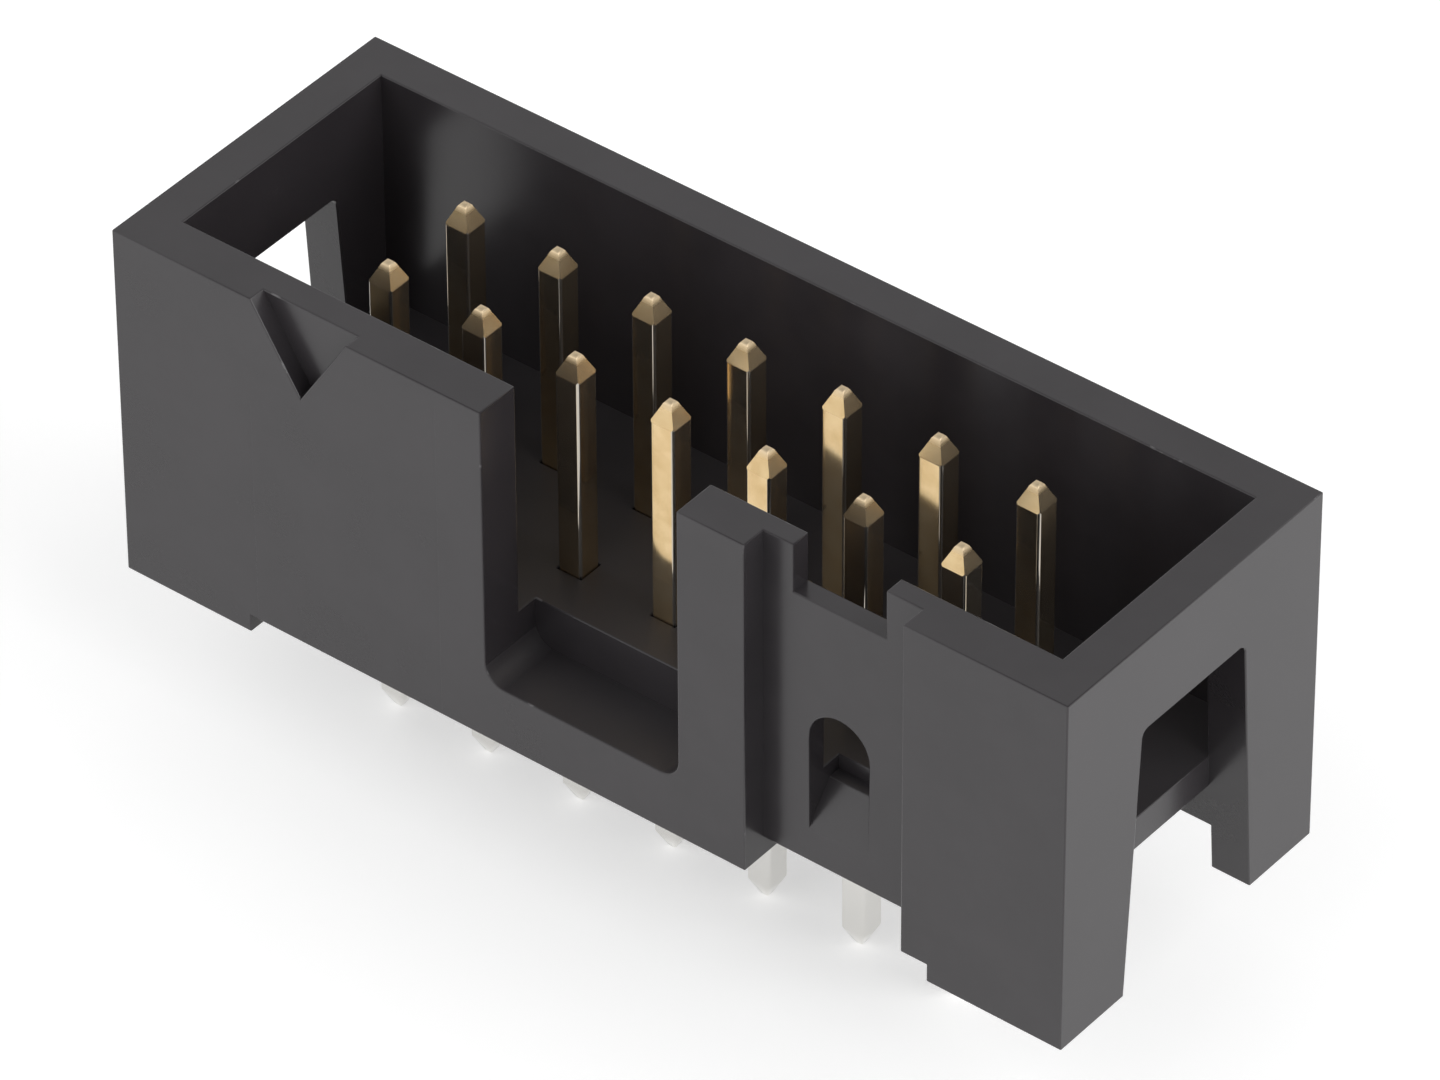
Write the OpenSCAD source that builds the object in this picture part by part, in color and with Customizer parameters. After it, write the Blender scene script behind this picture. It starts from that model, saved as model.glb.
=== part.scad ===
// Shrouded pin header: a moulded housing with two rows of straight square contacts.
// The origin is on the board plane, in the middle of the contact grid.
// X runs along the rows, Y from the key slot to the back wall, Z up from the board.

/* [Contacts] */
// Number of contacts in each of the two rows
columns = 7; // [6:1:10]
// Distance between neighbouring contacts in a row
pitch = 2.54; // [2.4:0.02:2.8]
// Distance between the two rows
row_pitch = 2.54; // [2.4:0.02:2.8]
// Side of the square contact wire
wire = 0.64; // [0.5:0.02:0.8]
// Chamfer along the four long edges of the wire
wire_chamfer = 0.05; // [0.02:0.01:0.1]
// Gap between the wire and its hole on each side
wire_fit = 0.01; // [0.005:0.005:0.03]
// Depth of the post's tip below the rim of the shroud
tip_below_rim = 0.3; // [0.1:0.05:1]
// Height of the taper that narrows the post towards its tip
taper_h = 0.38; // [0.2:0.02:0.6]
// Side of the post where the taper ends and its round cap begins
cap_w = 0.29; // [0.2:0.01:0.4]
// Height of the round cap on the post
cap_h = 0.14; // [0.08:0.02:0.24]
// Side of the flat on top of the cap
cap_flat = 0.08; // [0.04:0.02:0.16]
// Length of the solder tail below the board
tail_l = 3.25; // [2.4:0.05:4.5]
// Height of the tail's point
tail_point_h = 0.5; // [0.3:0.05:0.8]
// Side of the flat at the end of the tail's point
tail_flat = 0.18; // [0.1:0.02:0.24]

/* [Shroud] */
// Reach of the housing past the outermost contact centres
end_reach = 5.03; // [4.7:0.01:6]
// Width of the housing from front to back
body_w = 8.7; // [8.4:0.05:9.6]
// Height of the rim above the board
body_h = 9.25; // [8.5:0.05:10.5]
// Thickness of the front wall, which holds the key slot
front_wall = 1.15; // [1:0.05:1.4]
// Thickness of the back wall
back_wall = 1; // [0.8:0.05:1.4]
// Thickness of each end wall
end_wall = 1; // [0.8:0.05:1.4]
// Height of the cavity's floor above the board
floor_z = 3.2; // [2.8:0.05:3.6]
// Thickness of the floor beyond the contact block
floor_t = 0.85; // [0.6:0.05:1.2]

/* [Feet] */
// Length of each corner foot along the housing
foot_l = 3.5; // [2.8:0.1:4]
// Gap between the board and the walls between the feet
standoff = 0.45; // [0.2:0.05:0.8]
// Height of the shelves beside the end channels above the board
shelf_z = 1.2; // [0.9:0.05:1.6]

/* [Key slot] */
// Width of the key slot in the front wall
key_w = 5.2; // [4.4:0.1:5.6]
// Height of the key slot's sill above the board
key_sill = 2; // [1.4:0.05:2.6]
// Radius in the lower corners of the key slot
key_r = 0.5; // [0.2:0.05:0.8]
// Depth of the key slot in the edge of the floor
sill_in = 0.55; // [0.3:0.05:0.9]

/* [Coding recess] */
// Distance from the middle of the housing to the middle of the recess
code_x = 6.42; // [6:0.02:6.8]
// Width of the recess in the face of the front wall
code_w = 4.1; // [3.2:0.1:4.6]
// Depth of the recess
code_depth = 0.64; // [0.3:0.02:0.8]
// Height of the recess's lower edge above the board
code_z = 0.95; // [0.6:0.05:1.4]
// Distance from the middle of the housing to the middle of the notch and the window
window_x = 6.35; // [6.2:0.05:6.6]
// Width of the notch in the rim of the recessed wall
notch_w = 2.4; // [1.8:0.1:2.9]
// Depth of the notch below the rim
notch_h = 1.25; // [0.6:0.05:2]
// Width of the round-topped window in the recessed wall
window_w = 1.56; // [1:0.02:1.9]
// Height of the window's sill above the board
window_sill = 1.85; // [1.5:0.05:2.4]
// Height of the window from its sill to the top of its arch
window_h = 3.3; // [2.4:0.05:4]
// Depth of the window in the edge of the floor
window_in = 0.5; // [0.4:0.05:0.8]
// Depth in the edge of the floor where the ramp that rises from the window's sill ends
ramp_in = 0.2; // [0:0.05:0.3]
// Height of the ramp
ramp_h = 0.95; // [0.6:0.05:1.2]

/* [Pin-one mark] */
// Width of the triangular mark at the rim
mark_w = 2.6; // [1.6:0.05:3.2]
// Height of the mark from its point to the rim
mark_h = 2.05; // [1.2:0.05:3]
// Depth of the mark in the front wall
mark_depth = 0.42; // [0.15:0.01:0.6]
// Distance of the mark's point from the first contact towards the middle
mark_shift = 0.1; // [0:0.05:0.5]

/* [End portals] */
// Width of each portal at the board
portal_w = 4.4; // [3.6:0.05:4.8]
// Width of each portal at its top
portal_top_w = 3.5; // [2.8:0.05:3.6]
// Height of each portal's top above the board
portal_h = 6.87; // [5:0.01:7.6]
// Radius in the upper corners of each portal
portal_r = 0.2; // [0.1:0.05:0.6]

/* [Hidden] */
$fn = 48;
// How far a cutting shape runs past the faces that it opens
past = 0.5;
// Straight steps that follow the round side of a cap
cap_steps = 3;
// Turn at which the round side of a cap leaves the taper, so that no neck is left between them
cap_turn = 45;

contacts = 2 * columns;
first_x = -(columns - 1) / 2 * pitch;
body_l = (columns - 1) * pitch + 2 * end_reach;
inner_x = body_l / 2 - end_wall;
front_y = -body_w / 2;
front_in = front_y + front_wall;
back_in = body_w / 2 - back_wall;
recess_y = front_y + code_depth;
sill_back = front_in + sill_in;
window_back = front_in + window_in;
// The contact block under the floor ends where the corner feet begin
block_x = body_l / 2 - foot_l;
post_top = body_h - tip_below_rim;
hole_w = wire + 2 * wire_fit;

function contact_name(i) = str("contact_", i < 9 ? "0" : "", i + 1);
// Odd contacts stand in the front row and even ones in the back row
function contact_place(i) = [first_x + floor(i / 2) * pitch, (i % 2 - 0.5) * row_pitch];
// Point of a cap's side view at a share of the way from its foot to its flat
function cap_point(share) = let (turn = cap_turn + (90 - cap_turn) * share) [
    cap_flat / 2 + (cap_w - cap_flat) / 2 * cos(turn) / cos(cap_turn),
    post_top - cap_h * (1 - sin(turn)) / (1 - sin(cap_turn))
];
function mirrored(right) = concat(right, [for (i = [len(right) - 1 : -1 : 0]) [-right[i].x, right[i].y]]);

// A block given by two opposite corners
module span(low, high) {
    translate(low) cube(high - low);
}

// A shape drawn in X and Z, cut from y0 towards the back as far as y1
module from_front(y0, y1) {
    translate([0, y1, 0]) rotate([90, 0, 0]) linear_extrude(y1 - y0) children();
}

// A shape drawn in Y and Z, cut outwards from x0 as far as x1
module from_end(x0, x1) {
    translate([x0, 0, 0]) rotate([90, 0, 90]) linear_extrude(x1 - x0) children();
}

// Slot outline, open at the top, with round lower corners
module key_profile() {
    top = body_h + past;
    translate([-key_w / 2, key_sill + key_r]) square([key_w, top - key_sill - key_r]);
    translate([key_r - key_w / 2, key_sill]) square([key_w - 2 * key_r, key_r]);
    for (side = [-1, 1]) {
        translate([side * (key_w / 2 - key_r), key_sill + key_r]) circle(key_r);
    }
}

// Window outline with a half-round top, which runs on below the sill
module window_profile() {
    spring = window_h - window_w / 2;
    translate([-window_w / 2, -past]) square([window_w, spring + past]);
    translate([0, spring]) circle(window_w / 2);
}

// Portal outline: narrower at the top, with round upper corners tangent to its sides
module portal_profile() {
    lean = atan((portal_w - portal_top_w) / 2 / portal_h);
    corner_z = portal_h - portal_r;
    corner_y = portal_w / 2 - corner_z * tan(lean) - portal_r / cos(lean);
    foot_half = portal_w / 2 + past * tan(lean);
    polygon(mirrored([
        [foot_half, -past],
        [corner_y + portal_r * cos(lean), corner_z + portal_r * sin(lean)],
        [corner_y, portal_h]
    ]));
    for (side = [-1, 1]) {
        translate([side * corner_y, corner_z]) circle(portal_r);
    }
}

// Outer block, hollowed by the mating cavity above the floor
module shroud() {
    difference() {
        span([-body_l / 2, front_y, 0], [body_l / 2, body_w / 2, body_h]);
        span([-inner_x, front_in, floor_z], [inner_x, back_in, body_h + past]);
    }
}

// Gap under the housing between the feet
module standoff_gap() {
    span([-block_x, front_y - past, -past], [block_x, body_w / 2 + past, standoff]);
}

// Space under the shelves beside the channel at one end
module shelf_gap(side) {
    mirror([side < 0 ? 1 : 0, 0, 0]) {
        span([block_x, front_in, -past], [inner_x, back_in, shelf_z]);
    }
}

// Opening in one end wall, with the channel that runs under the floor to the contact block
module end_portal(side) {
    mirror([side < 0 ? 1 : 0, 0, 0]) {
        from_end(inner_x, body_l / 2 + past) portal_profile();
        intersection() {
            from_end(block_x, body_l / 2 + past) portal_profile();
            span([block_x, front_y, -past], [body_l / 2, body_w / 2, floor_z - floor_t]);
        }
    }
}

// Recess in the face of the front wall, with the wall taken away below it
module coding_recess() {
    low = code_x - code_w / 2;
    high = code_x + code_w / 2;
    span([low, front_y - past, code_z], [high, recess_y, body_h + past]);
    span([low, front_y - past, -past], [high, front_in, code_z]);
}

// Notch in the rim of the recessed wall
module rim_notch() {
    low = window_x - notch_w / 2;
    high = window_x + notch_w / 2;
    span([low, front_y - past, body_h - notch_h], [high, front_in + past, body_h + past]);
}

module key_slot() {
    from_front(front_y - past, sill_back) key_profile();
}

// Side view of the window: a ramp rises from its sill to a ledge in the edge of the floor
module ramp_profile() {
    ledge = window_sill + ramp_h;
    top = window_sill + window_h + past;
    polygon([
        [front_y - past, window_sill],
        [recess_y, window_sill],
        [front_in + ramp_in, ledge],
        [window_back, ledge],
        [window_back, top],
        [front_y - past, top]
    ]);
}

module coding_window() {
    intersection() {
        translate([window_x, 0, window_sill]) {
            from_front(front_y - 2 * past, window_back + past) window_profile();
        }
        from_end(window_x - window_w, window_x + window_w) ramp_profile();
    }
}

// Triangle that points down at the first contact
module pin_one_mark() {
    half_w = mark_w / 2 * (mark_h + past) / mark_h;
    translate([first_x + mark_shift, 0, body_h]) from_front(front_y - past, front_y + mark_depth) {
        polygon([[0, -mark_h], [half_w, past], [-half_w, past]]);
    }
}

module contact_holes() {
    for (i = [0 : contacts - 1]) {
        place = contact_place(i);
        translate([place.x, place.y, body_h / 2]) cube([hole_w, hole_w, body_h], center = true);
    }
}

module housing() {
    color("#2c2b2e") difference() {
        shroud();
        standoff_gap();
        for (side = [-1, 1]) {
            shelf_gap(side);
            end_portal(side);
        }
        key_slot();
        coding_recess();
        rim_notch();
        coding_window();
        pin_one_mark();
        contact_holes();
    }
}

// Side view of a contact, from the flat of its tail to the flat of its cap
module wire_profile() {
    polygon(mirrored(concat(
        [
            [tail_flat / 2, -tail_l],
            [wire / 2, tail_point_h - tail_l],
            [wire / 2, post_top - cap_h - taper_h]
        ],
        [for (k = [0 : cap_steps]) cap_point(k / cap_steps)]
    )));
}

// Cross-section of the wire with its chamfered edges
module wire_section() {
    half = wire / 2;
    inner = half - wire_chamfer;
    polygon(mirrored([[inner, -half], [half, -inner], [half, inner], [inner, half]]));
}

// One straight contact, shaped alike from all four sides
module contact(i) {
    place = contact_place(i);
    color("#d9b676") translate([place.x, place.y, 0]) intersection() {
        translate([0, 0, -tail_l]) linear_extrude(post_top + tail_l) wire_section();
        from_front(-wire, wire) wire_profile();
        from_end(-wire, wire) wire_profile();
    }
}

housing();
for (i = [0 : contacts - 1]) contact(i);
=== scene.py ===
"""Looks of a shrouded pin header: moulded black housing, gold posts with tin tails, and a pale studio."""

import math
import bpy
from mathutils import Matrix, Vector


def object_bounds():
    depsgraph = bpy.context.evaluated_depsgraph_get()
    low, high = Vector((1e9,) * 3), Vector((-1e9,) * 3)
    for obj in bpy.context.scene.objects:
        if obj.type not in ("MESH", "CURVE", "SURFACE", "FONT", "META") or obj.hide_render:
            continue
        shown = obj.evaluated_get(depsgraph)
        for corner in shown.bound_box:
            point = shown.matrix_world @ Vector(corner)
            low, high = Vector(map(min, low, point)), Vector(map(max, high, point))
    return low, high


bl_info = {
    "name": "Shrouded pin header looks",
    "version": (1, 0, 0),
    "blender": (4, 5, 0),
    "location": "View3D > Sidebar > Pin header",
    "description": "Finishes the moulded housing and the plated contacts, and sets up the studio",
    "category": "Object",
}

import bpy
from bpy.props import FloatProperty, FloatVectorProperty, IntProperty, PointerProperty
from mathutils import Matrix, Vector

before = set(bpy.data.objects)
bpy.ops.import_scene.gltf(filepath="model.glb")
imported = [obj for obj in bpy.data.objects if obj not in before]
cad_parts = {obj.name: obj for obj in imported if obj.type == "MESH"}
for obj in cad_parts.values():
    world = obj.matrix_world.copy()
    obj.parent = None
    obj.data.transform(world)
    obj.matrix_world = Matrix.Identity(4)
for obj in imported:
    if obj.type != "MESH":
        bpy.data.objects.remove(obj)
CAD_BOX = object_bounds()

MM = 0.001
HOUSING = "housing"
CONTACTS = sorted(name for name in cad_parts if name.startswith("contact_"))
# A height that nothing reaches
ABOVE_ALL = CAD_BOX[1].z + MM

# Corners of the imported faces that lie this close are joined
JOIN_DISTANCE = 0.001 * MM
# Faces that turn by less than this are made one flat face
FLAT_ANGLE = math.radians(1.0)
# Outer edges that turn by more than this are rounded
OUTER_ANGLE = math.radians(40.0)
# Edges that turn by more than this stay sharp in the shading
HOUSING_SHARP_ANGLE = math.radians(20.0)
WIRE_SHARP_ANGLE = math.radians(50.0)
# How far from a seam's height an edge still counts as lying on it
SEAM_REACH = 0.02 * MM
WIRE_EDGE_STEPS = 2
# Which of the housing's materials its rounded edges get: the one with the painted highlights
EDGE_MATERIAL = 1

# The plastic's roughness stays in a narrow range, because a wider one shows as loops on its flat faces
PLASTIC_SHEEN = (0.215, 0.265)
PLASTIC_DRIFT_SCALE = 450.0
PLASTIC_GRAIN_STRENGTH = 0.25
# Ledges lie this far below the rim
LEDGE_DROP = 2.0 * MM
# Least rise of a ledge: the upward part of its normal, less the part to the front or the back
LEDGE_RISE = 0.15
# Painted highlight: the rounded edges are painted lighter, as thin burrs catching the light, where the
# noise along an edge passes these values
BURR_HIGHLIGHT_SCALE = 1100.0
BURR_HIGHLIGHT_START = 0.66
BURR_HIGHLIGHT_FULL = 0.7
# Witness lines lie on what is this close to the front
FRONT_REACH = 0.05 * MM
WITNESS_STRENGTH = 0.5
WITNESS_DEPTH = 0.01 * MM

# Half lengths of the changes along a contact
PLATING_BLEND = 0.1 * MM
TIP_BLEND = 0.02 * MM
CAP_BLEND = 0.07 * MM
PLATING_DRIFT_SCALE = 1800.0
# Fine lines that drawing leaves along the wire
DRAWN_STRETCH = (1.0, 1.0, 0.06)
DRAWN_SCALE = 20000.0
DRAWN_STRENGTH = 0.2
DRAWN_DEPTH = 0.001 * MM

FLOOR_RADIUS = 2.0
FLOOR_CORNERS = 64
# Heights on the dome where it begins to dim and where it is dimmest. Its top is at 1
DOME_FADE = (0.5, 0.95)
SENSOR_WIDTH_MM = 36.0
CAMERA_CLIP = (0.01, 10.0)


class HeaderHousingSettings(bpy.types.PropertyGroup):
    """Finish of the moulded housing."""

    edge_radius: FloatProperty(
        name="Edge radius",
        description="Width of the rounding along the moulded edges",
        default=0.03 * MM,
        min=0.01 * MM,
        max=0.12 * MM,
        precision=5,
        unit="LENGTH",
    )
    edge_steps: IntProperty(
        name="Edge steps",
        description="Faces across each rounded edge",
        default=2,
        min=1,
        max=4,
    )
    dark_tone: FloatVectorProperty(
        name="Dark tone",
        description="Colour of the plastic where it is darkest",
        default=(0.025, 0.0222, 0.0246),
        subtype="COLOR",
        min=0.0,
        max=1.0,
    )
    light_tone: FloatVectorProperty(
        name="Light tone",
        description="Colour of the plastic where it is lightest",
        default=(0.0305, 0.0272, 0.03),
        subtype="COLOR",
        min=0.0,
        max=1.0,
    )
    # Painted highlight: a lighter colour on thin burrs along the rounded edges, standing in for the light
    # they catch
    burr_highlight_tone: FloatVectorProperty(
        name="Edge tone",
        description="Colour of the plastic where a thin burr is left on its edges",
        default=(0.11, 0.106, 0.11),
        subtype="COLOR",
        min=0.0,
        max=1.0,
    )
    grain_size: FloatProperty(
        name="Grain size",
        description="Size of the fine texture that the mould leaves on the plastic",
        default=0.06 * MM,
        min=0.01 * MM,
        max=0.5 * MM,
        precision=5,
        unit="LENGTH",
    )
    grain_depth: FloatProperty(
        name="Grain depth",
        description="Height of the fine texture",
        default=0.0035 * MM,
        min=0.0,
        max=0.05 * MM,
        precision=6,
        unit="LENGTH",
    )
    floor_sheen: FloatProperty(
        name="Ledge roughness",
        description="Roughness of the cavity's floor, the other ledges and the key slot's round corners",
        default=0.52,
        min=0.0,
        max=1.0,
        subtype="FACTOR",
    )
    insert_left: FloatProperty(
        name="Insert's left line",
        description="Place along the housing of the left witness line of the mould insert",
        default=-8.95 * MM,
        precision=5,
        unit="LENGTH",
    )
    insert_left_top: FloatProperty(
        name="Left line's top",
        description="Height above the board where the left witness line ends",
        default=6.4 * MM,
        precision=5,
        unit="LENGTH",
    )
    insert_right: FloatProperty(
        name="Insert's right line",
        description="Place along the housing of the right witness line of the mould insert",
        default=-3.85 * MM,
        precision=5,
        unit="LENGTH",
    )
    insert_right_top: FloatProperty(
        name="Right line's top",
        description="Height above the board where the right witness line ends",
        default=9.0 * MM,
        precision=5,
        unit="LENGTH",
    )


class HeaderContactSettings(bpy.types.PropertyGroup):
    """Finish of the plated contacts."""

    edge_radius: FloatProperty(
        name="Edge radius",
        description="Width of the rounding along the wire's edges",
        default=0.018 * MM,
        min=0.002 * MM,
        max=0.04 * MM,
        precision=5,
        unit="LENGTH",
    )
    gold_tone: FloatVectorProperty(
        name="Gold",
        description="Colour of the gold flash on the posts",
        default=(0.78, 0.585, 0.32),
        subtype="COLOR",
        min=0.0,
        max=1.0,
    )
    gold_shade: FloatVectorProperty(
        name="Gold shade",
        description="Colour of the gold flash where it is thin",
        default=(0.66, 0.46, 0.22),
        subtype="COLOR",
        min=0.0,
        max=1.0,
    )
    # Painted highlight: a paler colour along the wire's corners, standing in for the whitish highlight
    # lines that they catch
    corner_highlight_tone: FloatVectorProperty(
        name="Corners",
        description="Colour along the wire's corners, where the gold flash is rubbed thin",
        default=(0.53, 0.487, 0.42),
        subtype="COLOR",
        min=0.0,
        max=1.0,
    )
    # Painted highlight: a paler colour on the round caps, standing in for the whitish light on their tops
    cap_highlight_tone: FloatVectorProperty(
        name="Caps",
        description="Colour of the round caps on the posts, where the gold flash is rubbed thin",
        default=(0.68, 0.54, 0.35),
        subtype="COLOR",
        min=0.0,
        max=1.0,
    )
    tin_tone: FloatVectorProperty(
        name="Tin",
        description="Colour of the tin on the tails",
        default=(0.77, 0.76, 0.73),
        subtype="COLOR",
        min=0.0,
        max=1.0,
    )
    plating_line: FloatProperty(
        name="Plating line",
        description="Height above the board where the gold begins",
        default=1.6 * MM,
        min=0.6 * MM,
        max=3.0 * MM,
        precision=5,
        unit="LENGTH",
    )
    tip_line: FloatProperty(
        name="Tip line",
        description="Height above the board where the coined tip of a post begins",
        default=8.43 * MM,
        precision=5,
        unit="LENGTH",
    )
    cap_line: FloatProperty(
        name="Cap line",
        description="Height above the board where the round cap of a post begins",
        default=8.84 * MM,
        precision=5,
        unit="LENGTH",
    )
    metal_share: FloatProperty(
        name="Metal share",
        description="Share of the light that the plating mirrors. The rest is scattered by its fine pits",
        default=0.985,
        min=0.0,
        max=1.0,
        subtype="FACTOR",
    )
    haze_share: FloatProperty(
        name="Haze",
        description="Amount of the thin colourless haze over the plating",
        default=0.7,
        min=0.0,
        max=1.0,
        subtype="FACTOR",
    )
    haze_sheen: FloatProperty(
        name="Haze roughness",
        description="Roughness of the haze over the plating",
        default=0.7,
        min=0.0,
        max=1.0,
        subtype="FACTOR",
    )
    wire_sheen: FloatProperty(
        name="Wire roughness",
        description="Roughness of the bright drawn wire",
        default=0.07,
        min=0.0,
        max=1.0,
        subtype="FACTOR",
    )
    tip_sheen: FloatProperty(
        name="Tip roughness",
        description="Roughness of the coined tips",
        default=0.24,
        min=0.0,
        max=1.0,
        subtype="FACTOR",
    )
    cap_sheen: FloatProperty(
        name="Cap roughness",
        description="Roughness of the round caps",
        default=0.5,
        min=0.0,
        max=1.0,
        subtype="FACTOR",
    )


class HeaderStageSettings(bpy.types.PropertyGroup):
    """Studio round the part."""

    camera_azimuth: FloatProperty(
        name="Camera azimuth",
        description="Turn of the camera round the part from its front towards its right end",
        default=math.radians(38.582),
        subtype="ANGLE",
    )
    camera_elevation: FloatProperty(
        name="Camera elevation",
        description="Height of the camera above the horizon",
        default=math.radians(39.337),
        subtype="ANGLE",
    )
    camera_roll: FloatProperty(
        name="Camera roll",
        description="Turn of the camera about its line of sight",
        default=math.radians(-0.276),
        subtype="ANGLE",
    )
    camera_distance: FloatProperty(
        name="Camera distance",
        description="Distance from the camera to the point that it looks at",
        default=237.035 * MM,
        unit="LENGTH",
    )
    camera_target: FloatVectorProperty(
        name="Camera target",
        description="Point in the middle of the picture",
        default=(-0.115 * MM, 0.496 * MM, 4.0 * MM),
        precision=5,
        subtype="TRANSLATION",
        unit="LENGTH",
    )
    focal_length: FloatProperty(
        name="Focal length",
        description="Focal length on a sensor 36 mm wide, in millimetres",
        default=280.26,
        min=20.0,
        max=600.0,
    )
    floor_tone: FloatVectorProperty(
        name="Floor",
        description="Colour of the floor",
        default=(0.8, 0.8, 0.8),
        subtype="COLOR",
        min=0.0,
        max=1.0,
    )
    floor_lift: FloatProperty(
        name="Floor lift",
        description="Light added to the floor where it is seen, so that it reads as white",
        default=0.4,
        min=0.0,
        max=1.0,
        subtype="FACTOR",
    )
    dome_level: FloatProperty(
        name="Dome level",
        description="Strength of the even light from all round",
        default=0.93,
        min=0.0,
        max=2.0,
    )
    zenith_share: FloatProperty(
        name="Zenith share",
        description="Brightness of the studio overhead, as a share of its walls",
        default=0.3,
        min=0.0,
        max=1.0,
        subtype="FACTOR",
    )
    key_power: FloatProperty(
        name="Key power",
        description="Power of the soft lamp at the front left",
        default=0.4,
        min=0.0,
        max=10.0,
        unit="POWER",
    )
    key_azimuth: FloatProperty(
        name="Key azimuth",
        description="Turn of the key lamp round the part from its front towards its right end",
        default=math.radians(-30.0),
        subtype="ANGLE",
    )
    key_elevation: FloatProperty(
        name="Key elevation",
        description="Height of the key lamp above the horizon",
        default=math.radians(40.0),
        subtype="ANGLE",
    )
    side_power: FloatProperty(
        name="Side power",
        description="Power of the soft lamp at the right end",
        default=0.95,
        min=0.0,
        max=10.0,
        unit="POWER",
    )
    side_azimuth: FloatProperty(
        name="Side azimuth",
        description="Turn of the side lamp round the part from its front towards its right end",
        default=math.radians(95.0),
        subtype="ANGLE",
    )
    side_elevation: FloatProperty(
        name="Side elevation",
        description="Height of the side lamp above the horizon",
        default=math.radians(30.0),
        subtype="ANGLE",
    )
    lamp_size: FloatVectorProperty(
        name="Lamp size",
        description="Width and height of the lamps",
        default=(400 * MM, 400 * MM),
        size=2,
        unit="LENGTH",
    )
    lamp_distance: FloatProperty(
        name="Lamp distance",
        description="Distance from the lamps to the part",
        default=420 * MM,
        unit="LENGTH",
    )


def add_node(tree, kind, values=None, **settings):
    """A new node with its settings, and with the values of its unlinked sockets."""
    node = tree.nodes.new(kind)
    for key, value in settings.items():
        setattr(node, key, value)
    for socket, value in (values or {}).items():
        node.inputs[socket].default_value = value
    return node


def new_group(name, inputs, outputs):
    """An empty shader node group with named sockets, and its two end nodes."""
    group = bpy.data.node_groups.new(name, "ShaderNodeTree")
    for socket, kind, value in inputs:
        made = group.interface.new_socket(socket, in_out="INPUT", socket_type=kind)
        if value is not None:
            made.default_value = value
    for socket, kind in outputs:
        group.interface.new_socket(socket, in_out="OUTPUT", socket_type=kind)
    return group, group.nodes.new("NodeGroupInput"), group.nodes.new("NodeGroupOutput")


def drift_group():
    """Slow change of tone over a surface, from 0 to 1."""
    if "Tone drift" in bpy.data.node_groups:
        return bpy.data.node_groups["Tone drift"]
    group, ins, outs = new_group(
        "Tone drift",
        [("Vector", "NodeSocketVector", None), ("Scale", "NodeSocketFloat", 300.0)],
        [("Value", "NodeSocketFloat")],
    )
    noise = add_node(group, "ShaderNodeTexNoise", {"Detail": 3.0, "Roughness": 0.55})
    spread = add_node(
        group,
        "ShaderNodeMapRange",
        {"From Min": 0.25, "From Max": 0.75},
        interpolation_type="SMOOTHSTEP",
    )
    group.links.new(ins.outputs["Vector"], noise.inputs["Vector"])
    group.links.new(ins.outputs["Scale"], noise.inputs["Scale"])
    group.links.new(noise.outputs["Fac"], spread.inputs["Value"])
    group.links.new(spread.outputs["Result"], outs.inputs["Value"])
    return group


def grain_group():
    """Fine grain as a height."""
    if "Fine grain" in bpy.data.node_groups:
        return bpy.data.node_groups["Fine grain"]
    group, ins, outs = new_group(
        "Fine grain",
        [("Vector", "NodeSocketVector", None), ("Scale", "NodeSocketFloat", 20000.0)],
        [("Height", "NodeSocketFloat")],
    )
    fine = add_node(group, "ShaderNodeTexNoise", {"Detail": 1.0, "Roughness": 0.6})
    group.links.new(ins.outputs["Vector"], fine.inputs["Vector"])
    group.links.new(ins.outputs["Scale"], fine.inputs["Scale"])
    group.links.new(fine.outputs["Fac"], outs.inputs["Height"])
    return group


def patch_group():
    """Mask of sparse patches, which the housing's rounded edges use for their painted highlights."""
    if "Sparse patches" in bpy.data.node_groups:
        return bpy.data.node_groups["Sparse patches"]
    group, ins, outs = new_group(
        "Sparse patches",
        [
            ("Vector", "NodeSocketVector", None),
            ("Scale", "NodeSocketFloat", 900.0),
            ("Start", "NodeSocketFloat", 0.6),
            ("Full", "NodeSocketFloat", 0.68),
        ],
        [("Mask", "NodeSocketFloat")],
    )
    noise = add_node(group, "ShaderNodeTexNoise", {"Detail": 4.0})
    gaps = add_node(group, "ShaderNodeMapRange")
    group.links.new(ins.outputs["Vector"], noise.inputs["Vector"])
    group.links.new(ins.outputs["Scale"], noise.inputs["Scale"])
    group.links.new(noise.outputs["Fac"], gaps.inputs["Value"])
    group.links.new(ins.outputs["Start"], gaps.inputs["From Min"])
    group.links.new(ins.outputs["Full"], gaps.inputs["From Max"])
    group.links.new(gaps.outputs["Result"], outs.inputs["Mask"])
    return group


def place_group(tree, group, vector, **values):
    """The group as a node in a material, reading that vector, with its own values."""
    node = tree.nodes.new("ShaderNodeGroup")
    node.node_tree = group
    tree.links.new(vector, node.inputs["Vector"])
    for socket, value in values.items():
        node.inputs[socket].default_value = value
    return node


def mix_colours(tree, factor, first, second):
    """Socket of the colour that the factor blends from the first to the second, each a socket or a tone."""
    mix = add_node(tree, "ShaderNodeMix", data_type="RGBA")
    tree.links.new(factor, mix.inputs["Factor"])
    colours = [socket for socket in mix.inputs if socket.type == "RGBA"]
    for socket, value in zip(colours, (first, second)):
        if isinstance(value, bpy.types.NodeSocket):
            tree.links.new(value, socket)
        else:
            socket.default_value = (*value, 1.0)
    return next(socket for socket in mix.outputs if socket.type == "RGBA")


def ramp_over(tree, value, middle, half):
    """Socket that rises from 0 to 1 as the value passes a short stretch round a middle."""
    limits = {"From Min": middle - half, "From Max": middle + half}
    ramp = add_node(tree, "ShaderNodeMapRange", limits)
    tree.links.new(value, ramp.inputs["Value"])
    return ramp.outputs["Result"]


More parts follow.
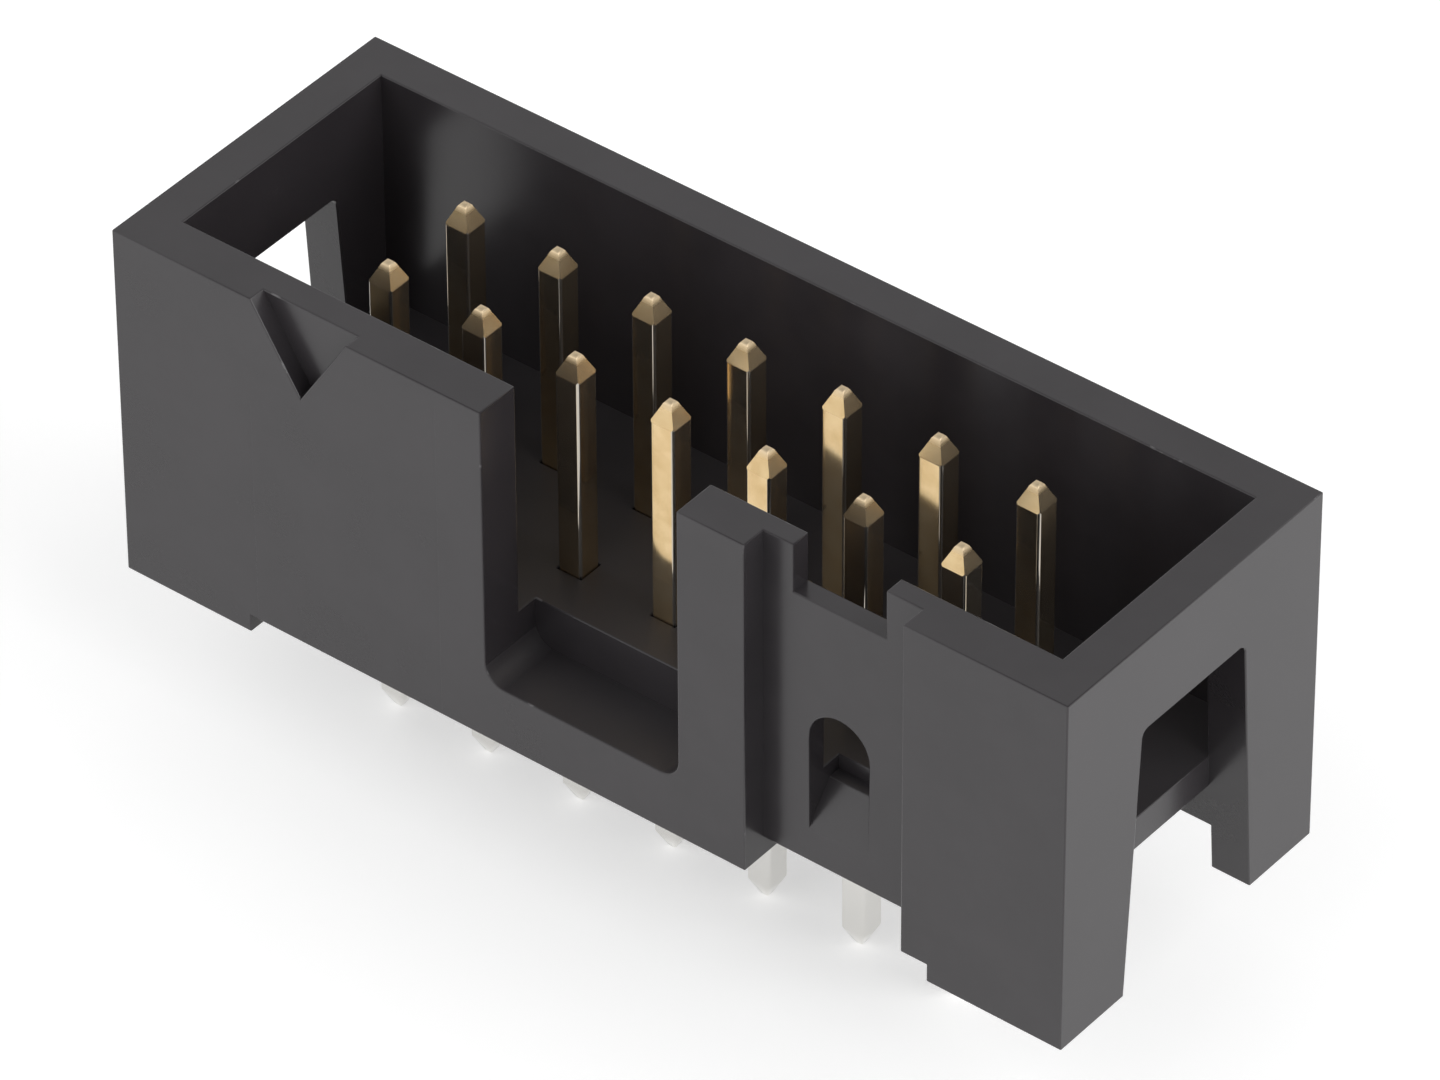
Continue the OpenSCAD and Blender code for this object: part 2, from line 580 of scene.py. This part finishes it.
def new_material(name):
    """A material with an empty tree, its shader and the place on the object as a vector."""
    material = bpy.data.materials.new(name)
    material.use_nodes = True
    tree = material.node_tree
    tree.nodes.clear()
    shader = tree.nodes.new("ShaderNodeBsdfPrincipled")
    output = tree.nodes.new("ShaderNodeOutputMaterial")
    tree.links.new(shader.outputs["BSDF"], output.inputs["Surface"])
    place = tree.nodes.new("ShaderNodeTexCoord").outputs["Object"]
    return material, tree, shader, place


def witness_group():
    """Mask of the thin upright line that an insert in the mould leaves in a front face, below a height."""
    if "Witness line" in bpy.data.node_groups:
        return bpy.data.node_groups["Witness line"]
    group, ins, outs = new_group(
        "Witness line",
        [
            ("Vector", "NodeSocketVector", None),
            ("Place", "NodeSocketFloat", 0.0),
            ("Half width", "NodeSocketFloat", 0.03 * MM),
            ("Face", "NodeSocketFloat", 0.0),
            ("Top", "NodeSocketFloat", 0.0),
        ],
        [("Mask", "NodeSocketFloat")],
    )
    parts = add_node(group, "ShaderNodeSeparateXYZ")
    group.links.new(ins.outputs["Vector"], parts.inputs["Vector"])
    near = add_node(group, "ShaderNodeMath", operation="COMPARE")
    front = add_node(group, "ShaderNodeMath", operation="LESS_THAN")
    below = add_node(group, "ShaderNodeMath", operation="LESS_THAN")
    for test, axis, limits in (
        (near, "X", ("Place", "Half width")),
        (front, "Y", ("Face",)),
        (below, "Z", ("Top",)),
    ):
        group.links.new(parts.outputs[axis], test.inputs[0])
        for slot, limit in enumerate(limits, 1):
            group.links.new(ins.outputs[limit], test.inputs[slot])
    total = near.outputs["Value"]
    for test in (front, below):
        both = add_node(group, "ShaderNodeMath", operation="MULTIPLY")
        group.links.new(total, both.inputs[0])
        group.links.new(test.outputs["Value"], both.inputs[1])
        total = both.outputs["Value"]
    group.links.new(total, outs.inputs["Mask"])
    return group


def ledge_group():
    """Mask of the faces that look up, straight or to one end, and lie below a height."""
    if "Ledges" in bpy.data.node_groups:
        return bpy.data.node_groups["Ledges"]
    group, ins, outs = new_group(
        "Ledges",
        [("Vector", "NodeSocketVector", None), ("Top", "NodeSocketFloat", 0.0)],
        [("Mask", "NodeSocketFloat")],
    )
    place = add_node(group, "ShaderNodeSeparateXYZ")
    facing = add_node(group, "ShaderNodeSeparateXYZ")
    group.links.new(ins.outputs["Vector"], place.inputs["Vector"])
    normal = add_node(group, "ShaderNodeNewGeometry").outputs["True Normal"]
    group.links.new(normal, facing.inputs["Vector"])
    aside = add_node(group, "ShaderNodeMath", operation="ABSOLUTE")
    rise = add_node(group, "ShaderNodeMath", operation="SUBTRACT")
    up = add_node(group, "ShaderNodeMath", {1: LEDGE_RISE}, operation="GREATER_THAN")
    below = add_node(group, "ShaderNodeMath", operation="LESS_THAN")
    both = add_node(group, "ShaderNodeMath", operation="MULTIPLY")
    group.links.new(facing.outputs["Y"], aside.inputs[0])
    group.links.new(facing.outputs["Z"], rise.inputs[0])
    group.links.new(aside.outputs["Value"], rise.inputs[1])
    group.links.new(rise.outputs["Value"], up.inputs[0])
    group.links.new(place.outputs["Z"], below.inputs[0])
    group.links.new(ins.outputs["Top"], below.inputs[1])
    group.links.new(up.outputs["Value"], both.inputs[0])
    group.links.new(below.outputs["Value"], both.inputs[1])
    group.links.new(both.outputs["Value"], outs.inputs["Mask"])
    return group


def plastic_material(settings, name):
    """Black moulded thermoplastic with a fine mould texture, which is rougher on its ledges."""
    material, tree, shader, place = new_material(name)
    drift = place_group(tree, drift_group(), place, Scale=PLASTIC_DRIFT_SCALE)
    low, high = PLASTIC_SHEEN
    sheen = add_node(tree, "ShaderNodeMapRange", {"To Min": low, "To Max": high})
    grain = place_group(tree, grain_group(), place, Scale=1.0 / settings.grain_size)
    ledge = place_group(tree, ledge_group(), place, Top=CAD_BOX[1].z - LEDGE_DROP)
    rough = add_node(tree, "ShaderNodeMix", {"B": settings.floor_sheen})
    tone = mix_colours(tree, drift.outputs["Value"], settings.dark_tone, settings.light_tone)
    tree.links.new(tone, shader.inputs["Base Color"])
    tree.links.new(drift.outputs["Value"], sheen.inputs["Value"])
    tree.links.new(ledge.outputs["Mask"], rough.inputs["Factor"])
    tree.links.new(sheen.outputs["Result"], rough.inputs["A"])
    tree.links.new(rough.outputs["Result"], shader.inputs["Roughness"])
    texture = {"Strength": PLASTIC_GRAIN_STRENGTH, "Distance": settings.grain_depth}
    bump = add_node(tree, "ShaderNodeBump", texture)
    tree.links.new(grain.outputs["Height"], bump.inputs["Height"])
    tree.links.new(bump.outputs["Normal"], shader.inputs["Normal"])
    return material, tree, shader, place, bump


def face_material(settings):
    """The plastic of the housing's faces, with the witness lines of a mould insert in its front."""
    material, tree, shader, place, bump = plastic_material(settings, "moulded_black_plastic")
    front = CAD_BOX[0].y + FRONT_REACH
    depth = {"Strength": WITNESS_STRENGTH, "Distance": WITNESS_DEPTH}
    for line, top in (
        (settings.insert_left, settings.insert_left_top),
        (settings.insert_right, settings.insert_right_top),
    ):
        mark = place_group(tree, witness_group(), place, Place=line, Face=front, Top=top)
        groove = add_node(tree, "ShaderNodeBump", depth, invert=True)
        tree.links.new(mark.outputs["Mask"], groove.inputs["Height"])
        tree.links.new(bump.outputs["Normal"], groove.inputs["Normal"])
        bump = groove
    tree.links.new(bump.outputs["Normal"], shader.inputs["Normal"])
    return material


def edge_highlight_material(settings):
    """The plastic of the housing's rounded edges, painted lighter here and there: a painted highlight where
    thin burrs catch the light.
    """
    material, tree, shader, place, _ = plastic_material(settings, "moulded_black_edges_painted_highlights")
    # Painted highlight: sparse patches of the edges get the lighter colour of thin burrs catching the light
    burr_highlight = place_group(tree, patch_group(), place, Scale=BURR_HIGHLIGHT_SCALE, Start=BURR_HIGHLIGHT_START, Full=BURR_HIGHLIGHT_FULL)
    plain = shader.inputs["Base Color"].links[0].from_socket
    tone = mix_colours(tree, burr_highlight.outputs["Mask"], plain, settings.burr_highlight_tone)
    tree.links.new(tone, shader.inputs["Base Color"])
    return material


def corner_group():
    """Mask of the slanted faces along the corners of an upright square wire."""
    if "Wire corner faces" in bpy.data.node_groups:
        return bpy.data.node_groups["Wire corner faces"]
    group, ins, outs = new_group(
        "Wire corner faces",
        [
            ("Vector", "NodeSocketVector", None),
            ("Start", "NodeSocketFloat", 0.1),
            ("Full", "NodeSocketFloat", 0.3),
        ],
        [("Mask", "NodeSocketFloat")],
    )
    facing = add_node(group, "ShaderNodeSeparateXYZ")
    slant = add_node(group, "ShaderNodeMath", operation="MULTIPLY")
    size = add_node(group, "ShaderNodeMath", operation="ABSOLUTE")
    spread = add_node(group, "ShaderNodeMapRange")
    group.links.new(ins.outputs["Vector"], facing.inputs["Vector"])
    group.links.new(facing.outputs["X"], slant.inputs[0])
    group.links.new(facing.outputs["Y"], slant.inputs[1])
    group.links.new(slant.outputs["Value"], size.inputs[0])
    group.links.new(size.outputs["Value"], spread.inputs["Value"])
    group.links.new(ins.outputs["Start"], spread.inputs["From Min"])
    group.links.new(ins.outputs["Full"], spread.inputs["From Max"])
    group.links.new(spread.outputs["Result"], outs.inputs["Mask"])
    return group


def plating_material(settings):
    """Gold flash on the posts and tin on the tails, bright on the wire and satin on the coined tips, with
    paler painted highlights along the wire's corners and on the round caps.
    """
    material, tree, shader, place = new_material("gold_and_tin_plating")
    height = add_node(tree, "ShaderNodeSeparateXYZ")
    tree.links.new(place, height.inputs["Vector"])
    drift = place_group(tree, drift_group(), place, Scale=PLATING_DRIFT_SCALE)
    line = ramp_over(tree, height.outputs["Z"], settings.plating_line, PLATING_BLEND)
    tip = ramp_over(tree, height.outputs["Z"], settings.tip_line, TIP_BLEND)
    cap = ramp_over(tree, height.outputs["Z"], settings.cap_line, CAP_BLEND)
    facing = add_node(tree, "ShaderNodeNewGeometry").outputs["True Normal"]
    corner = place_group(tree, corner_group(), facing)
    gold = mix_colours(tree, drift.outputs["Value"], settings.gold_shade, settings.gold_tone)
    # Painted highlight: the wire's corner faces are painted paler
    gold = mix_colours(tree, corner.outputs["Mask"], gold, settings.corner_highlight_tone)
    # Painted highlight: the round caps are painted paler
    gold = mix_colours(tree, cap, gold, settings.cap_highlight_tone)
    tone = mix_colours(tree, line, settings.tin_tone, gold)
    tree.links.new(tone, shader.inputs["Base Color"])
    limits = {"To Min": settings.wire_sheen, "To Max": settings.tip_sheen}
    sheen = add_node(tree, "ShaderNodeMapRange", limits)
    rough = add_node(tree, "ShaderNodeMix", {"B": settings.cap_sheen})
    tree.links.new(tip, sheen.inputs["Value"])
    tree.links.new(cap, rough.inputs["Factor"])
    tree.links.new(sheen.outputs["Result"], rough.inputs["A"])
    tree.links.new(rough.outputs["Result"], shader.inputs["Roughness"])
    shader.inputs["Metallic"].default_value = settings.metal_share
    shader.inputs["Coat Weight"].default_value = settings.haze_share
    shader.inputs["Coat Roughness"].default_value = settings.haze_sheen
    along = add_node(tree, "ShaderNodeMapping", {"Scale": DRAWN_STRETCH})
    tree.links.new(place, along.inputs["Vector"])
    grain = place_group(tree, grain_group(), along.outputs["Vector"], Scale=DRAWN_SCALE)
    lines = {"Strength": DRAWN_STRENGTH, "Distance": DRAWN_DEPTH}
    bump = add_node(tree, "ShaderNodeBump", lines)
    tree.links.new(grain.outputs["Height"], bump.inputs["Height"])
    tree.links.new(bump.outputs["Normal"], shader.inputs["Normal"])
    return material


def new_shape_group(name):
    """An empty geometry node group that takes and gives a mesh, and its two end nodes."""
    group = bpy.data.node_groups.new(name, "GeometryNodeTree")
    for way in ("INPUT", "OUTPUT"):
        group.interface.new_socket("Geometry", in_out=way, socket_type="NodeSocketGeometry")
    return group, group.nodes.new("NodeGroupInput"), group.nodes.new("NodeGroupOutput")


def joined_group():
    """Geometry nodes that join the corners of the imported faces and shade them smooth."""
    if "Joined faces" in bpy.data.node_groups:
        return bpy.data.node_groups["Joined faces"]
    group, ins, outs = new_shape_group("Joined faces")
    merge = add_node(group, "GeometryNodeMergeByDistance", {"Distance": JOIN_DISTANCE})
    smooth = add_node(group, "GeometryNodeSetShadeSmooth", {"Shade Smooth": True})
    group.links.new(ins.outputs["Geometry"], merge.inputs["Geometry"])
    group.links.new(merge.outputs["Geometry"], smooth.inputs["Geometry"])
    group.links.new(smooth.outputs["Geometry"], outs.inputs["Geometry"])
    return group


def outer_edge_group(name, top):
    """Geometry nodes that mark the outer edges below a height for the bevel. Inner corners stay sharp."""
    if name in bpy.data.node_groups:
        return bpy.data.node_groups[name]
    group, ins, outs = new_shape_group(name)
    turn = add_node(group, "GeometryNodeInputMeshEdgeAngle")
    outer = add_node(group, "FunctionNodeCompare", {"B": OUTER_ANGLE}, operation="GREATER_THAN")
    height = add_node(group, "ShaderNodeSeparateXYZ")
    below = add_node(group, "FunctionNodeCompare", {"B": top}, operation="LESS_THAN")
    both = add_node(group, "FunctionNodeBooleanMath", operation="AND")
    mark = add_node(
        group,
        "GeometryNodeStoreNamedAttribute",
        {"Name": "bevel_weight_edge"},
        data_type="FLOAT",
        domain="EDGE",
    )
    group.links.new(turn.outputs["Signed Angle"], outer.inputs["A"])
    place = add_node(group, "GeometryNodeInputPosition").outputs["Position"]
    group.links.new(place, height.inputs["Vector"])
    group.links.new(height.outputs["Z"], below.inputs["A"])
    group.links.new(outer.outputs["Result"], both.inputs[0])
    group.links.new(below.outputs["Result"], both.inputs[1])
    group.links.new(ins.outputs["Geometry"], mark.inputs["Geometry"])
    group.links.new(both.outputs["Boolean"], mark.inputs["Value"])
    group.links.new(mark.outputs["Geometry"], outs.inputs["Geometry"])
    return group


def sharp_corner_group(name, limit, seam):
    """Geometry nodes that keep edges past an angle, or at the height of a seam, sharp in the shading."""
    if name in bpy.data.node_groups:
        return bpy.data.node_groups[name]
    group, ins, outs = new_shape_group(name)
    turn = add_node(group, "GeometryNodeInputMeshEdgeAngle")
    steep = add_node(group, "FunctionNodeCompare", {"B": limit}, operation="GREATER_THAN")
    height = add_node(group, "ShaderNodeSeparateXYZ")
    level = add_node(group, "FunctionNodeCompare", {"B": seam, "Epsilon": SEAM_REACH}, operation="EQUAL")
    either = add_node(group, "FunctionNodeBooleanMath", operation="OR")
    sharp = add_node(group, "GeometryNodeSetShadeSmooth", {"Shade Smooth": False}, domain="EDGE")
    group.links.new(turn.outputs["Unsigned Angle"], steep.inputs["A"])
    place = add_node(group, "GeometryNodeInputPosition").outputs["Position"]
    group.links.new(place, height.inputs["Vector"])
    group.links.new(height.outputs["Z"], level.inputs["A"])
    group.links.new(steep.outputs["Result"], either.inputs[0])
    group.links.new(level.outputs["Result"], either.inputs[1])
    group.links.new(ins.outputs["Geometry"], sharp.inputs["Geometry"])
    group.links.new(either.outputs["Boolean"], sharp.inputs["Selection"])
    group.links.new(sharp.outputs["Geometry"], outs.inputs["Geometry"])
    return group


def round_edges(piece, radius, steps, edges, corners, weighting):
    """Modifiers that round the marked edges of a CAD node and keep its flat faces flat in the shading."""
    joined = piece.modifiers.new("joined_faces", "NODES")
    joined.node_group = joined_group()
    flat = piece.modifiers.new("flat_faces", "DECIMATE")
    flat.decimate_type = "DISSOLVE"
    flat.angle_limit = FLAT_ANGLE
    outer = piece.modifiers.new("outer_edges", "NODES")
    outer.node_group = edges
    bevel = piece.modifiers.new("rounded_edges", "BEVEL")
    bevel.width = radius
    bevel.segments = steps
    bevel.limit_method = "WEIGHT"
    bevel.miter_outer = "MITER_ARC"
    sharp = piece.modifiers.new("sharp_corners", "NODES")
    sharp.node_group = corners
    normals = piece.modifiers.new("even_normals", "WEIGHTED_NORMAL")
    normals.mode = weighting
    normals.keep_sharp = True
    return bevel


def dress(node, materials):
    """Gives a CAD node its materials, and returns it."""
    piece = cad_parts[node]
    piece.data.materials.clear()
    for material in materials:
        piece.data.materials.append(material)
    return piece


class HEADER_OT_housing(bpy.types.Operator):
    """Round the housing's moulded edges and give it its black plastic"""

    bl_idname = "header.housing"
    bl_label = "Finish the housing"

    def execute(self, context):
        settings = context.scene.header_housing
        piece = dress(HOUSING, (face_material(settings), edge_highlight_material(settings)))
        edges = outer_edge_group("Housing edges", ABOVE_ALL)
        corners = sharp_corner_group("Housing corners", HOUSING_SHARP_ANGLE, ABOVE_ALL)
        radius, steps = settings.edge_radius, settings.edge_steps
        bevel = round_edges(piece, radius, steps, edges, corners, "FACE_AREA_WITH_ANGLE")
        # The rounded edges get the plastic with the painted highlights
        bevel.material = EDGE_MATERIAL
        return {"FINISHED"}


class HEADER_OT_contacts(bpy.types.Operator):
    """Round the contacts' edges and plate them with gold and tin"""

    bl_idname = "header.contacts"
    bl_label = "Finish the contacts"

    def execute(self, context):
        settings = context.scene.header_contacts
        if not CONTACTS:
            raise RuntimeError("the packed model has no contacts")
        plating = plating_material(settings)
        edges = outer_edge_group("Wire edges", settings.tip_line)
        corners = sharp_corner_group("Wire corners", WIRE_SHARP_ANGLE, settings.tip_line)
        for node in CONTACTS:
            piece = dress(node, (plating,))
            round_edges(piece, settings.edge_radius, WIRE_EDGE_STEPS, edges, corners, "FACE_AREA")
        return {"FINISHED"}


def seen_ray(tree):
    """1 for rays from the camera, from gloss and through glass, which see the white studio."""
    path = tree.nodes.new("ShaderNodeLightPath")
    total = path.outputs["Is Camera Ray"]
    for ray in ("Is Glossy Ray", "Is Transmission Ray"):
        either = add_node(tree, "ShaderNodeMath", operation="MAXIMUM")
        tree.links.new(total, either.inputs[0])
        tree.links.new(path.outputs[ray], either.inputs[1])
        total = either.outputs["Value"]
    return total


def floor_material(settings):
    """Pale matt floor, lifted to white where it is seen, so that only the soft shadow shows on it."""
    material = bpy.data.materials.new("studio_floor")
    material.use_nodes = True
    tree = material.node_tree
    tree.nodes.clear()
    matt = add_node(tree, "ShaderNodeBsdfDiffuse", {"Color": (*settings.floor_tone, 1.0)})
    lift = add_node(tree, "ShaderNodeEmission")
    amount = add_node(tree, "ShaderNodeMath", {1: settings.floor_lift}, operation="MULTIPLY")
    both = tree.nodes.new("ShaderNodeAddShader")
    output = tree.nodes.new("ShaderNodeOutputMaterial")
    tree.links.new(seen_ray(tree), amount.inputs[0])
    tree.links.new(amount.outputs["Value"], lift.inputs["Strength"])
    tree.links.new(matt.outputs["BSDF"], both.inputs[0])
    tree.links.new(lift.outputs["Emission"], both.inputs[1])
    tree.links.new(both.outputs["Shader"], output.inputs["Surface"])
    return material


def add_floor(settings, height):
    """Flat round floor at that height."""
    mesh = bpy.data.meshes.new("studio_floor")
    turns = [2 * math.pi * corner / FLOOR_CORNERS for corner in range(FLOOR_CORNERS)]
    ring = [(FLOOR_RADIUS * math.cos(turn), FLOOR_RADIUS * math.sin(turn), height) for turn in turns]
    mesh.from_pydata(ring, [], [range(FLOOR_CORNERS)])
    mesh.materials.append(floor_material(settings))
    floor = bpy.data.objects.new("studio_floor", mesh)
    bpy.context.scene.collection.objects.link(floor)


def direction(azimuth, elevation):
    """Unit vector from the part to that side. Azimuth 0 is the front, and a quarter turn the right end."""
    return Vector((
        math.sin(azimuth) * math.cos(elevation),
        -math.cos(azimuth) * math.cos(elevation),
        math.sin(elevation),
    ))


def add_lamp(name, settings, azimuth, elevation, power):
    """Broad soft lamp that faces the part."""
    lamp = bpy.data.lights.new(name, "AREA")
    lamp.shape = "RECTANGLE"
    lamp.size, lamp.size_y = settings.lamp_size
    lamp.energy = power
    back = direction(azimuth, elevation)
    made = bpy.data.objects.new(name, lamp)
    made.location = Vector(settings.camera_target) + back * settings.lamp_distance
    made.rotation_euler = back.to_track_quat("Z", "Y").to_euler()
    bpy.context.scene.collection.objects.link(made)


def add_camera(settings):
    """Camera at the picture's viewing angle, with no shift and no depth of field."""
    data = bpy.data.cameras.new("studio_camera")
    data.sensor_width = SENSOR_WIDTH_MM
    data.lens = settings.focal_length
    data.clip_start, data.clip_end = CAMERA_CLIP
    back = direction(settings.camera_azimuth, settings.camera_elevation)
    camera = bpy.data.objects.new("studio_camera", data)
    turn = back.to_track_quat("Z", "Y").to_matrix() @ Matrix.Rotation(settings.camera_roll, 3, "Z")
    place = Matrix.Translation(Vector(settings.camera_target) + back * settings.camera_distance)
    camera.matrix_world = place @ turn.to_4x4()
    bpy.context.scene.collection.objects.link(camera)
    bpy.context.scene.camera = camera


def light_dome(settings):
    """Even white studio all round, dimmer overhead."""
    world = bpy.data.worlds.new("studio_dome")
    world.use_nodes = True
    tree = world.node_tree
    tree.nodes.clear()
    height = tree.nodes.new("ShaderNodeSeparateXYZ")
    way = tree.nodes.new("ShaderNodeTexCoord").outputs["Generated"]
    tree.links.new(way, height.inputs["Vector"])
    start, end = DOME_FADE
    limits = {"From Min": start, "From Max": end, "To Min": 1.0, "To Max": settings.zenith_share}
    fade = add_node(tree, "ShaderNodeMapRange", limits)
    strength = add_node(tree, "ShaderNodeMath", {1: settings.dome_level}, operation="MULTIPLY")
    sky = add_node(tree, "ShaderNodeBackground", {"Color": (1.0, 1.0, 1.0, 1.0)})
    output = tree.nodes.new("ShaderNodeOutputWorld")
    tree.links.new(height.outputs["Z"], fade.inputs["Value"])
    tree.links.new(fade.outputs["Result"], strength.inputs[0])
    tree.links.new(strength.outputs["Value"], sky.inputs["Strength"])
    tree.links.new(sky.outputs["Background"], output.inputs["Surface"])
    bpy.context.scene.world = world


class HEADER_OT_stage(bpy.types.Operator):
    """Set up the floor, the soft lamps, the white dome and the camera"""

    bl_idname = "header.stage"
    bl_label = "Set up the studio"

    def execute(self, context):
        settings = context.scene.header_stage
        context.scene.view_settings.view_transform = "Standard"
        add_floor(settings, CAD_BOX[0].z)
        key = settings.key_azimuth, settings.key_elevation, settings.key_power
        side = settings.side_azimuth, settings.side_elevation, settings.side_power
        add_lamp("key_lamp", settings, *key)
        add_lamp("side_lamp", settings, *side)
        light_dome(settings)
        add_camera(settings)
        return {"FINISHED"}


class HEADER_PT_looks(bpy.types.Panel):
    """Sidebar panel with the steps and their settings"""

    bl_idname = "HEADER_PT_looks"
    bl_label = "Pin header looks"
    bl_space_type = "VIEW_3D"
    bl_region_type = "UI"
    bl_category = "Pin header"

    def draw(self, context):
        for step, settings in (
            (HEADER_OT_housing, context.scene.header_housing),
            (HEADER_OT_contacts, context.scene.header_contacts),
            (HEADER_OT_stage, context.scene.header_stage),
        ):
            box = self.layout.box()
            box.operator(step.bl_idname)
            for prop in settings.bl_rna.properties:
                if prop.identifier not in ("rna_type", "name"):
                    box.prop(settings, prop.identifier)


SETTINGS = {
    "header_housing": HeaderHousingSettings,
    "header_contacts": HeaderContactSettings,
    "header_stage": HeaderStageSettings,
}
STEPS = (HEADER_OT_housing, HEADER_OT_contacts, HEADER_OT_stage, HEADER_PT_looks)


def register():
    for made in (*SETTINGS.values(), *STEPS):
        bpy.utils.register_class(made)
    for name, group in SETTINGS.items():
        setattr(bpy.types.Scene, name, PointerProperty(type=group))


def unregister():
    for name in SETTINGS:
        delattr(bpy.types.Scene, name)
    for made in reversed((*SETTINGS.values(), *STEPS)):
        bpy.utils.unregister_class(made)


def main():
    register()
    bpy.ops.header.housing()
    bpy.ops.header.contacts()
    bpy.ops.header.stage()


if __name__ == "__main__":
    main()
